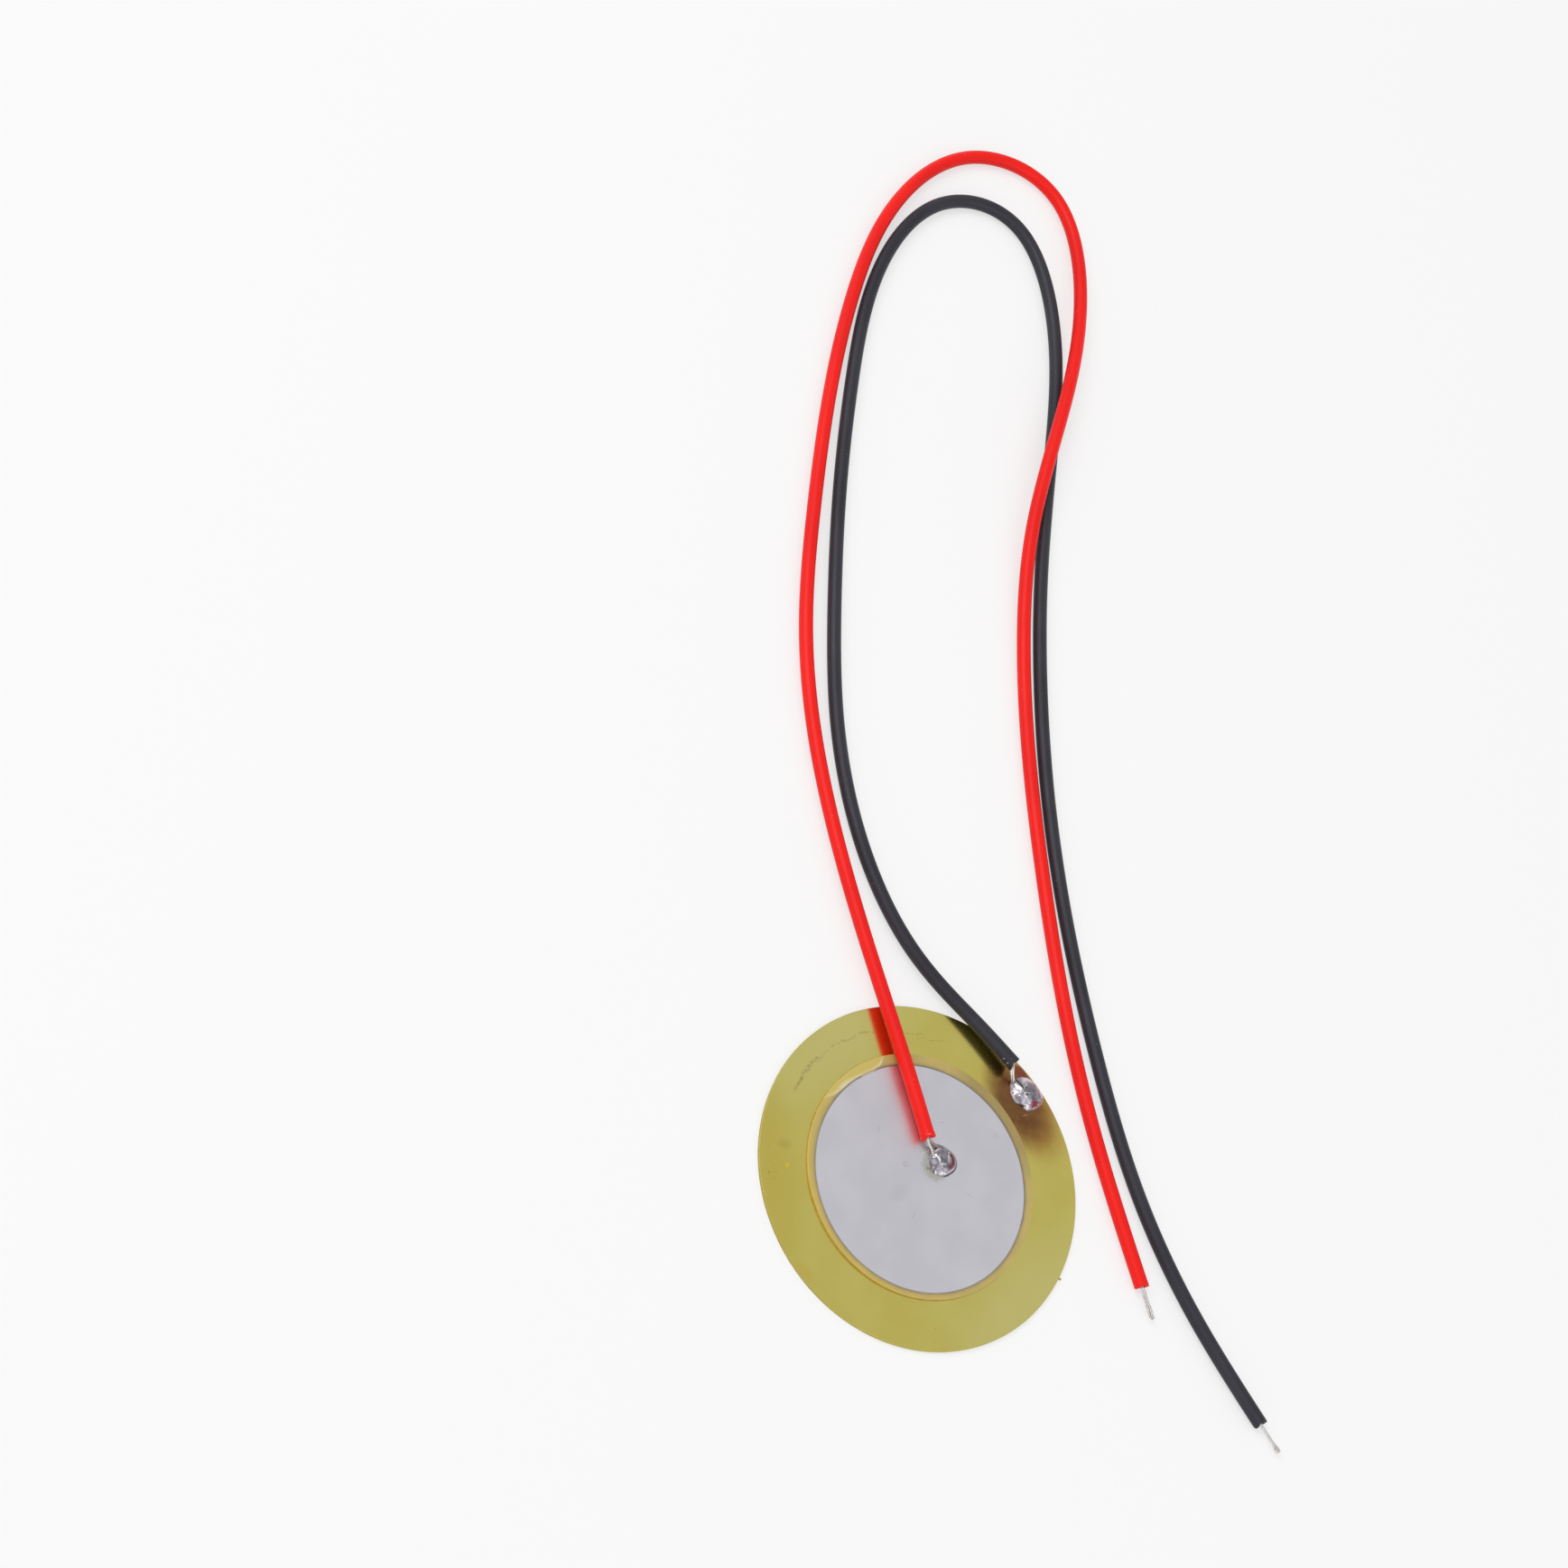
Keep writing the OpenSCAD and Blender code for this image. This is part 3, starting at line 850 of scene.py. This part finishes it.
# The bands and spots paint each drop's highlights, its shade mixed with dark flux, and its maroon
# flux stain with a reflection of the red lead
frozen_drop(
    "centre_solder",
    CENTRE_JOINT,
    FACE,
    CENTRE_OUTLINE,
    height=0.55,
    fold=0.03,
    seed=21,
    ridge=((1.15, 1.6), (1.5, 1.0), 0.16, 0.06),
    bright=0.05,
    bands=[
        ("hollow", 0.9, 0.92, 1.1, -90, 95),
        ("hollow", 0.4, 0.95, 1.1, 95, 260),
        ("pale", 0.5, 0.8, 0.85, -70, 75),
        ("hollow", 0.7, 0.47, 0.7, -60, 40),
        ("maroon_flux_and_reflection", 0.75, 0.47, 0.7, -60, 40),
    ],
    spots=[
        ("hollow", 0.55, (0.98, 1.1, 0.4, 0.32, 80)),
        ("hollow", 0.5, (0.9, 1.75, 0.25, 0.2, 60)),
        ("hollow", 0.8, (0.9, 1.5, 0.12, 0.07, 40)),
        ("hollow", 0.45, (1.6, 1.25, 0.4, 0.1, -62)),
        ("hollow", 0.35, (1.75, 0.95, 0.35, 0.25, -30)),
        ("hollow", 0.8, (1.0, 0.33, 0.12, 0.06, -40)),
        ("pale", 0.9, (0.84, 0.44, 0.07, 0.05, 60)),
        ("pale", 0.9, (1.16, 0.28, 0.13, 0.05, -60)),
        ("pale", 0.8, (1.12, 0.1, 0.07, 0.05, 0)),
    ],
)
frozen_drop(
    "rim_solder",
    RIM_JOINT,
    DISC_TOP,
    RIM_OUTLINE,
    height=0.75,
    fold=0.06,
    seed=31,
    ridge=((8.7, 7.9), (9.2, 7.3), 0.16, 0.1),
    bright=0.1,
    bands=[
        ("hollow", 0.85, 0.93, 1.1, 228, 262),
        ("pale", 0.9, 0.9, 0.97, 180, 222),
        ("pale", 0.7, 0.88, 0.94, 290, 338),
    ],
    spots=[
        ("pale", 0.85, (9.85, 8.3, 0.6, 0.28, -25)),
        ("pale", 0.65, (8.85, 7.5, 0.5, 0.26, -75)),
        ("pale", 0.8, (11.05, 7.1, 0.4, 0.2, -65)),
        ("hollow", 0.35, (9.85, 7.15, 0.7, 0.5, -50)),
        ("hollow", 0.8, (9.05, 8.0, 0.75, 0.12, -67)),
        ("hollow", 0.4, (8.98, 6.62, 0.36, 0.2, -45)),
        ("pale", 1.0, (8.58, 7.16, 0.21, 0.18, 0)),
        ("hollow", 0.8, (8.62, 7.18, 0.07, 0.07, 0)),
        ("pale", 1.0, (9.67, 6.02, 0.22, 0.17, -60)),
        ("maroon_flux_and_reflection", 0.95, (10.29, 6.36, 0.34, 0.25, 20)),
    ],
)


def dried_pool(node, middle, base, radii, material, near=0.0, far=99.0):
    """A thin pool: its height, smoothed away over the last quarter of its
    outline, a little higher and lower by slow noise. The outline stays between
    two distances from the disc's middle, and `out` tells how far out it is."""
    height = 0.028
    u = np.linspace(0.04, 1, 24)[:, None]
    angle = np.linspace(0, 2 * np.pi, 160, endpoint=False)[None, :]
    ring = ring_of(angle, 4)
    edge = outline(radii, angle) * (1 + 0.05 * noise(ring, 1.0, 9) + 0.02 * noise(ring, 0.35, 10))
    # Three steps bring the outline between the two distances
    for _ in range(3):
        off = np.hypot(middle[0] + edge * np.cos(angle), middle[1] + edge * np.sin(angle))
        edge = edge - 0.8 * np.maximum(off - far, 0) - 0.8 * np.maximum(near - off, 0)
    x, y = middle[0] + u * edge * np.cos(angle), middle[1] + u * edge * np.sin(angle)
    top = height * smooth(1.0, 0.75, u) * np.ones_like(angle)
    grid = np.stack([x, y, base - 0.003 + top], -1)
    grid[..., 2] += top * 0.25 * noise(grid, 0.5, 11)
    poles = (grid[0].mean(axis=0), np.array([middle[0], middle[1], base - 0.004]))
    values = {"out": with_poles(u * np.ones_like(angle), 0.0, 1.0)}
    piece(node + "_pool", [shell(grid, *poles)], material, node, values)


dried_pool(
    "centre_flux",
    CENTRE_JOINT - [0.3, 0.3],
    FACE,
    [1.55, 1.62, 1.62, 1.62, 1.72, 1.7, 1.64, 1.68, 1.6, 1.42, 1.25, 1.38],
    CLEAR_FLUX,
)
dried_pool(
    "rim_flux",
    RIM_JOINT - [0.2, 0.2],
    DISC_TOP,
    [1.6, 1.5, 1.35, 1.3, 1.35, 1.45, 1.5, 1.5, 1.5, 1.45, 1.4, 1.6],
    BROWN_FLUX,
    BEAD_R + 0.1,
    DISC_R - 0.12,
)


# ---- Disc, ceramic, electrode and glue ----


def burr():
    """A sliver left by the punch: an ellipse carried outwards from inside the
    rim, narrower and thinner towards its end, which curls up a little."""
    t = np.linspace(0, 1, 24)[:, None]
    around = np.linspace(0, 2 * np.pi, 20, endpoint=False)[None, :]
    out = DISC_R - 0.35 + 0.63 * t
    blunt = np.sqrt(np.clip(1 - ((t - 0.9) / 0.1).clip(0) ** 2, 0.05, 1))
    half_wide = 0.17 * (1 - 0.55 * t**2) * blunt
    half_thick = 0.06 * (1 - 0.5 * t)
    side = half_wide * np.cos(around) + 0.05 * t**2
    z = 0.075 + 0.03 * t**2 + half_thick * np.sin(around)
    turn = np.radians(-32.5)
    x = out * np.cos(turn) - side * np.sin(turn)
    y = out * np.sin(turn) + side * np.cos(turn)
    grid = np.stack([x, y, z], -1)
    return shell(grid, grid[0].mean(axis=0), grid[-1].mean(axis=0))


def brass_plate():
    """The disc, turned about z from its edge's outline: flat below, a rough
    torn wall, a burnished wall above it, the punch's round edge, flat above.
    The wall's radius wavers by a hundredth of a millimetre."""
    roll = 0.035
    a = np.radians(np.arange(0, 91, 15))
    below = [(r, 0.0) for r in (2.0, 8.0, 12.0, 13.3, DISC_R - 0.03)]
    wall = [(0.02, 0.0), (0.006, 0.012), (0.008, 0.06), (0.01, 0.11), (0.002, 0.14), (0.001, 0.2)]
    wall = [(DISC_R - short, z) for short, z in wall]
    edge = np.stack([DISC_R - roll * (1 - np.cos(a)), DISC_TOP - roll * (1 - np.sin(a))], -1)
    above = [(r, DISC_TOP) for r in (DISC_R - 0.05, 13.3, 12.6, 11.5, 9.0, 4.0, 1.0)]
    profile = np.vstack([below, wall, edge, above])
    r, z = profile[:, :1], profile[:, 1:]
    angle = np.linspace(0, 2 * np.pi, 900, endpoint=False)
    ring = turned_about_z(r, z, angle)
    on_wall = smooth(DISC_R - 0.1, DISC_R - 0.02, r)
    torn = on_wall * smooth(0.15, 0.1, z) * smooth(-0.01, 0.01, z)
    r = r - on_wall * 0.004 * (1 + noise(ring, 0.8, 41)) - torn * 0.008 * (1 + noise(ring, 0.09, 42))
    plate = shell(turned_about_z(r, z, angle), (0, 0, 0), (0, 0, DISC_TOP))
    sliver = burr()
    # The wall and the burr are duller, and darkened partly as painted shade
    dull_and_shaded = with_poles(smooth(DISC_R - 0.034, DISC_R - 0.028, r), 0.0, 0.0)
    dull_and_shaded = np.concatenate([dull_and_shaded, np.ones(len(sliver[0]))])
    piece("brass_plate", [plate, sliver], BRASS, "brass_disc", {"wall": dull_and_shaded})


def print_edge(angle):
    """The print's radius round its own middle: the full circle, wavering a
    little, and ragged where it falls short under the glue smear."""
    beside = np.abs(np.degrees(np.angle(np.exp(1j * (angle - np.radians(117))))))
    ring = ring_of(angle, 9)
    ragged = 0.05 * noise(ring, 0.5, 51) + 0.03 * noise(ring, 0.2, 52)
    bite = smooth(8.0, 4.5, beside) * (0.03 + 0.5 * ragged) + smooth(24, 8, beside) * 0.02
    return PRINT_R - 0.015 + 0.012 * noise(ring, 2.0, 53) - bite


def edge_strength(angle):
    """How dark the print's edge and the painted shade beside it are: most at
    the right and top, less round the lower left, and least where the glue
    smear runs up on it."""
    turned = np.degrees(angle)
    lower_left = smooth(140, 165, turned) * smooth(345, 320, turned)
    smeared = smooth(111, 113, turned) * smooth(122, 120, turned)
    return (1 - 0.15 * lower_left) * (1 - 0.6 * smeared)


def silver_print():
    """The upper electrode, turned about its own middle from an outline that
    ends in its wavering edge; `thin` is 1 at that edge, where it darkens the
    silver, partly as painted shade."""
    angle = np.linspace(0, 2 * np.pi, 900, endpoint=False)
    inward = [0.0, 0.02, 0.04, 0.06, 0.08, 0.1, 0.12, 0.25, 0.6, 2.0, 4.5, 7.5]
    inward = np.array(inward)[:, None]
    foot = CERAMIC_TOP - 0.001
    z = foot + (FACE - foot) * smooth(0.0, 0.1, inward)
    grid = turned_about_z(print_edge(angle) - inward, z, angle) + [*PRINT_MIDDLE, 0]
    thin = smooth(0.11, 0.02, inward) * edge_strength(angle)
    solid = shell(grid, (*PRINT_MIDDLE, CERAMIC_TOP - 0.002), (*PRINT_MIDDLE, FACE))
    values = {"thin": with_poles(thin, 0.0, 0.0)}
    piece("silver_print", [solid], SILVER, "upper_electrode", values)


# Round the print, in degrees: how far the smear's line is from the print, and
# how strong its ragged border is
SMEAR_LINE = [(105, 0.9), (107, 0.4), (109, 0.12), (112, 0.03), (136, 0.03), (141, 0.3), (147, 0.9)]
SMEAR_BORDER = [(105, 0.3), (108, 0.9), (110, 0.8), (114, 0.35), (119, 0.35)]
SMEAR_BORDER += [(123, 0.75), (128, 0.85), (133, 1.0), (139, 0.6), (147, 0.2)]


def ceramic_wafer():
    """The ceramic, turned about z with edges rounded by 0.03 mm. `gold` marks
    its wall and outer edge, stronger to the left as painted light, `smear` a
    glue smear with a ragged `cream` border at the upper left, and `shade` the
    thin line round the print."""
    a = np.radians(np.arange(0, 91, 30))
    low, high, round_r = CERAMIC_BASE, CERAMIC_TOP, 0.03
    below = [(4.0, low), (8.0, low), (CERAMIC_R - 0.05, low)]
    wall = [(CERAMIC_R, low + 0.02), (CERAMIC_R, 0.45)]
    edge = np.stack([CERAMIC_R - round_r * (1 - np.cos(a)), high - round_r * (1 - np.sin(a))], -1)
    margin = np.r_[np.arange(CERAMIC_R - 0.05, 8.4, -0.03), 8.0, 6.0, 2.0]
    profile = np.vstack([below, wall, edge, [(r, high) for r in margin]])
    r, z = profile[:, :1], profile[:, 1:]
    angle = np.linspace(0, 2 * np.pi, 1100, endpoint=False)
    grid = turned_about_z(r, z, angle)
    x, y = grid[..., 0] - PRINT_MIDDLE[0], grid[..., 1] - PRINT_MIDDLE[1]
    beside = np.hypot(x, y) - print_edge(np.arctan2(y, x))
    # The smear lies between the wall and a line that leaves the wall, runs
    # beside the print and turns back out to the wall
    turned = np.degrees(angle)
    apart = np.interp(turned, *np.transpose(SMEAR_LINE))
    inside = beside - apart + 0.03 * noise(grid, 0.5, 61) + 0.02 * noise(grid, 0.2, 62)
    smear = smooth(0.0, 0.15, inside)
    border = smooth(0.22, 0.0, np.abs(inside - 0.1)) * smooth(CERAMIC_R, CERAMIC_R - 0.1, r)
    border = border * np.interp(turned, *np.transpose(SMEAR_BORDER))
    border = border * (0.8 + 0.2 * noise(grid, 0.4, 65))
    broad = smooth(126, 131, turned) * smooth(138, 134, turned) * smooth(0.5, 0.2, inside)
    border = np.maximum(border, 0.6 * smear * broad)
    # The gold is partly the edge's own colour, and stronger towards the left, where the lamps fall,
    # as painted light
    to_left = smooth(-0.3, 0.6, np.cos(angle - np.radians(185)))
    gold = smooth(9.44, 9.57, r + 0.03 * noise(grid, 0.6, 63)) * (0.25 + 0.55 * to_left)
    gold = np.maximum(gold, 0.35 * to_left * smooth(9.1, 9.5, r))
    shade = 0.6 * smooth(0.14, 0.0, np.abs(beside)) + 0.35 * smooth(0.35, 0.05, beside)
    shade = shade * (0.8 + 0.2 * noise(grid, 0.5, 64)) * (1 - 0.9 * smear) * edge_strength(angle)
    values = {"gold": gold, "smear": 0.8 * smear, "cream": 0.9 * border, "shade": shade.clip(0, 1)}
    values = {name: with_poles(numbers, 0.0, 0.0) for name, numbers in values.items()}
    solid = shell(grid, (0, 0, low), (0, 0, high))
    piece("ceramic_wafer", [solid], CERAMIC, "ceramic_disc", values)


def glue_line():
    """The bond with its bead: a hollow quarter round of wavering width, turned
    about z against the ceramic's edge."""
    angle = np.linspace(0, 2 * np.pi, 720, endpoint=False)
    ring, full = ring_of(angle, 9), np.ones_like(angle)
    wide = (BEAD_R - CERAMIC_R) * (0.72 + 0.28 * noise(ring, 1.6, 71))
    tall = (BEAD_TOP - DISC_TOP) * (0.8 + 0.2 * noise(ring, 1.1, 72))
    a = np.radians(np.arange(0, 91, 15))[:, None]
    r = CERAMIC_R - 0.005 + wide * (1 - np.sin(a))
    z = DISC_TOP + tall * (1 - np.cos(a))
    hidden_r, foot = 6.0, DISC_TOP - 0.002
    r = np.vstack([hidden_r * full, r, (CERAMIC_R - 0.03) * full, hidden_r * full])
    z = np.vstack([foot * full, z, CERAMIC_BASE * full, CERAMIC_BASE * full])
    solid = shell(turned_about_z(r, z, angle), (0, 0, foot), (0, 0, CERAMIC_BASE))
    piece("glue_line", [solid], ADHESIVE, "bond_layer")


brass_plate()
silver_print()
ceramic_wafer()
glue_line()

# The lower electrode keeps its own shape, and is of the same silver
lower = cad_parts["lower_electrode"]
lower.data.materials.clear()
lower.data.materials.append(SILVER)


# ---- Floor, lamps and world ----


def pale_floor():
    """A matt white table. What the camera and polished metal see of it is
    part lit paint and part plain white, so it stays pale and keeps the
    object's shadow."""
    mesh = bpy.data.meshes.new("table")
    # It is 6 m wide, and lies 0.02 mm under the part
    half, low = 3.0, -0.00002
    corners = [(-half, -half, low), (half, -half, low), (half, half, low), (-half, half, low)]
    mesh.from_pydata(corners, [], [(0, 1, 2, 3)])
    floor = bpy.data.objects.new("table", mesh)
    bpy.context.scene.collection.objects.link(floor)
    material = bpy.data.materials.new("table_paint")
    material.use_nodes = True
    tree = material.node_tree
    tree.nodes.clear()
    paint = add(tree, "BsdfDiffuse", {"Color": "F4F4F4"})
    white = add(tree, "Emission", {"Color": "FFFFFF", "Strength": 1.0})
    rays = add(tree, "LightPath", output=None).outputs
    seen = (rays["Is Camera Ray"], rays["Is Glossy Ray"])
    seen = add(tree, "Math", seen, operation="MAXIMUM")
    share = add(tree, "Math", (seen, 0.6), operation="MULTIPLY")
    surface = add(tree, "MixShader", (share, paint, white))
    add(tree, "OutputMaterial", {"Surface": surface}, None)
    mesh.materials.append(material)


def soft_lamp(name, place, size, power):
    """A square soft box that looks at the disc."""
    lamp = bpy.data.objects.new(name, bpy.data.lights.new(name, "AREA"))
    bpy.context.scene.collection.objects.link(lamp)
    lamp.data.size = size
    lamp.data.energy = power
    place = Matrix.Translation(place)
    lamp.matrix_world = place @ (-place.translation).to_track_quat("-Z", "Y").to_matrix().to_4x4()


def studio():
    """A white room. Polished metal sees it too, darker round the one direction
    where a grey screen stands, and matt surfaces get a plain level from it."""
    level, to_screen = 0.6, (0.428, 0.36, 0.829)
    world = bpy.data.worlds.new("studio")
    bpy.context.scene.world = world
    world.use_nodes = True
    tree = world.node_tree
    tree.nodes.clear()
    rays = add(tree, "LightPath", output=None).outputs
    look = add(tree, "TexCoord", output="Generated")
    toward = add(tree, "VectorMath", (look, to_screen), "Value", operation="DOT_PRODUCT")
    screen = (toward, 0.55, 0.85, 1.0, 0.62)
    screen = add(tree, "MapRange", screen, interpolation_type="SMOOTHSTEP")
    plain = (rays["Is Camera Ray"], rays["Is Transmission Ray"])
    plain = add(tree, "Math", plain, operation="MAXIMUM")
    polished = add(tree, "Math", (rays["Is Glossy Ray"], screen), operation="MULTIPLY")
    seen = add(tree, "Math", (plain, polished), operation="MAXIMUM")
    any_seen = add(tree, "Math", (plain, rays["Is Glossy Ray"]), operation="MAXIMUM")
    rest = add(tree, "Math", (any_seen, -level, level), operation="MULTIPLY_ADD")
    strength = add(tree, "Math", (seen, rest), operation="ADD")
    back = add(tree, "Background", {"Color": "FFFFFF", "Strength": strength})
    add(tree, "OutputWorld", {"Surface": back}, None)


pale_floor()
soft_lamp("key_lamp", (-0.35, 0.25, 0.5), 0.4, 1.6)
soft_lamp("fill_lamp", (0.1, -0.45, 0.4), 0.5, 0.7)
studio()
bpy.context.scene.view_settings.view_transform = "Standard"
